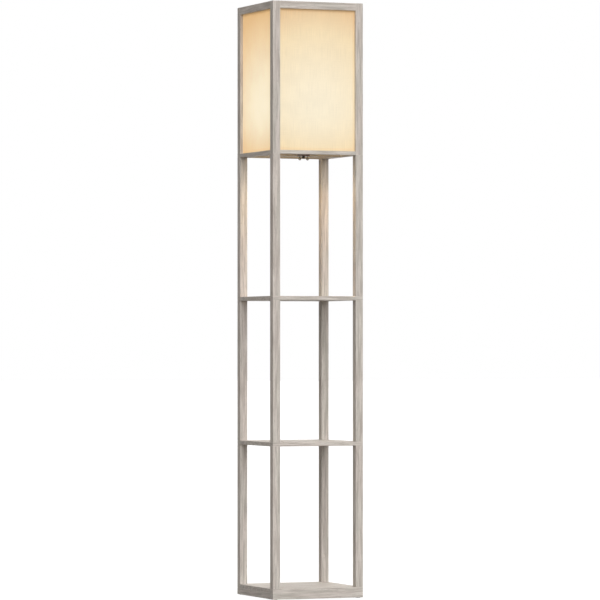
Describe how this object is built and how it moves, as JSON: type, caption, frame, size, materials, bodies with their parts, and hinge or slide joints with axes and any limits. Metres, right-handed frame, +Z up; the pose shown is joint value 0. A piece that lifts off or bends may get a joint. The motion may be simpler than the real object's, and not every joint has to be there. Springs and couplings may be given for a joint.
{
  "type": "shelf floor lamp",
  "caption": "Square floor lamp with an open tower of shelves below a lit fabric box, two pull switches under the box.",
  "frame": {"origin": "on the floor under the middle of the square footprint", "axes": "+Z up, -Y towards the front where the pulls hang, +X to the right seen from the front"},
  "size_m": [0.261, 0.261, 1.6],
  "materials": {
    "rail_wood": "grey oak grain, matt lacquer",
    "post_wood": "grey oak grain, matt lacquer",
    "board_wood": "grey oak grain, matt lacquer",
    "shade_fabric": "ivory woven linen look on a stiff backing",
    "pad_felt": "pressed felt",
    "stud_steel": "zinc plated",
    "insert_zinc": "cast zinc",
    "dowel_wood": "plain beech",
    "nipple_steel": "zinc plated",
    "holder_resin": "black phenolic",
    "screw_shell_metal": "pressed sheet",
    "contact_brass": "plain",
    "globe_glass": "opal, soft white",
    "bulb_cap_metal": "rolled thread",
    "switch_resin": "dark brown phenolic",
    "guide_nickel": "nickel plated",
    "pull_nickel": "nickel plated",
    "spring_steel": "drawn wire",
    "gland_rubber": "moulded",
    "lead_sleeve": "insulated wire"
  },
  "bodies": {
    "lamp_frame": {"plinth_rail_front": "rail_wood", "plinth_rail_right": "rail_wood", "plinth_rail_back": "rail_wood", "plinth_rail_left": "rail_wood", "box_floor_rail_front": "rail_wood", "box_floor_rail_right": "rail_wood", "box_floor_rail_back": "rail_wood", "box_floor_rail_left": "rail_wood", "box_top_rail_front": "rail_wood", "box_top_rail_right": "rail_wood", "box_top_rail_back": "rail_wood", "box_top_rail_left": "rail_wood", "cross_bar": "rail_wood", "lower_leg_front_left": "post_wood", "lower_leg_front_right": "post_wood", "lower_leg_back_left": "post_wood", "lower_leg_back_right": "post_wood", "middle_leg_front_left": "post_wood", "middle_leg_front_right": "post_wood", "middle_leg_back_left": "post_wood", "middle_leg_back_right": "post_wood", "upper_leg_front_left": "post_wood", "upper_leg_front_right": "post_wood", "upper_leg_back_left": "post_wood", "upper_leg_back_right": "post_wood", "head_post_front_left": "post_wood", "head_post_front_right": "post_wood", "head_post_back_left": "post_wood", "head_post_back_right": "post_wood", "bottom_board": "board_wood", "lower_shelf": "board_wood", "upper_shelf": "board_wood", "shade_panel_front": "shade_fabric", "shade_panel_right": "shade_fabric", "shade_panel_back": "shade_fabric", "shade_panel_left": "shade_fabric", "glide_pads": "pad_felt", "tier_studs": "stud_steel", "housing_screws": "stud_steel", "threaded_inserts": "insert_zinc", "rail_dowels": "dowel_wood", "holder_nipple": "nipple_steel", "holder_nuts": "nipple_steel", "holder_cap": "holder_resin", "holder_shell": "holder_resin", "screw_shell": "screw_shell_metal", "centre_contact": "contact_brass", "switch_contacts": "contact_brass", "switch_housing": "switch_resin", "switch_cover": "switch_resin", "pull_guides": "guide_nickel", "left_pull_spring": "spring_steel", "right_pull_spring": "spring_steel", "cord_gland": "gland_rubber", "holder_leads": "lead_sleeve"},
    "bulb_carriage": {"bulb_tip": "contact_brass"},
    "bulb": {"bulb_globe": "globe_glass", "bulb_screw_cap": "bulb_cap_metal"},
    "left_pull": {"left_pull": "pull_nickel"},
    "right_pull": {"right_pull": "pull_nickel"}
  },
  "joints": [
    {"name": "bulb_lift", "type": "slide", "parent": "lamp_frame", "child": "bulb_carriage", "axis": [0, 0, 1], "range_m": [0, 0.01088]},
    {"name": "bulb_turn", "type": "hinge", "parent": "bulb_carriage", "child": "bulb", "pos_m": [0, 0, 1.25], "axis": [0, 0, 1], "range_deg": [0, 1080]},
    {"name": "left_pull_travel", "type": "slide", "parent": "lamp_frame", "child": "left_pull", "axis": [0, 0, -1], "range_m": [0, 0.008], "stiffness_N_per_m": 400, "springref_m": -0.002, "deforming": ["left_pull_spring"]},
    {"name": "right_pull_travel", "type": "slide", "parent": "lamp_frame", "child": "right_pull", "axis": [0, 0, -1], "range_m": [0, 0.008], "stiffness_N_per_m": 400, "springref_m": -0.002, "deforming": ["right_pull_spring"]}
  ],
  "couplings": [
    {"joint": "bulb_turn", "follows": "bulb_lift", "rad_per_m": 1730.9}
  ]
}
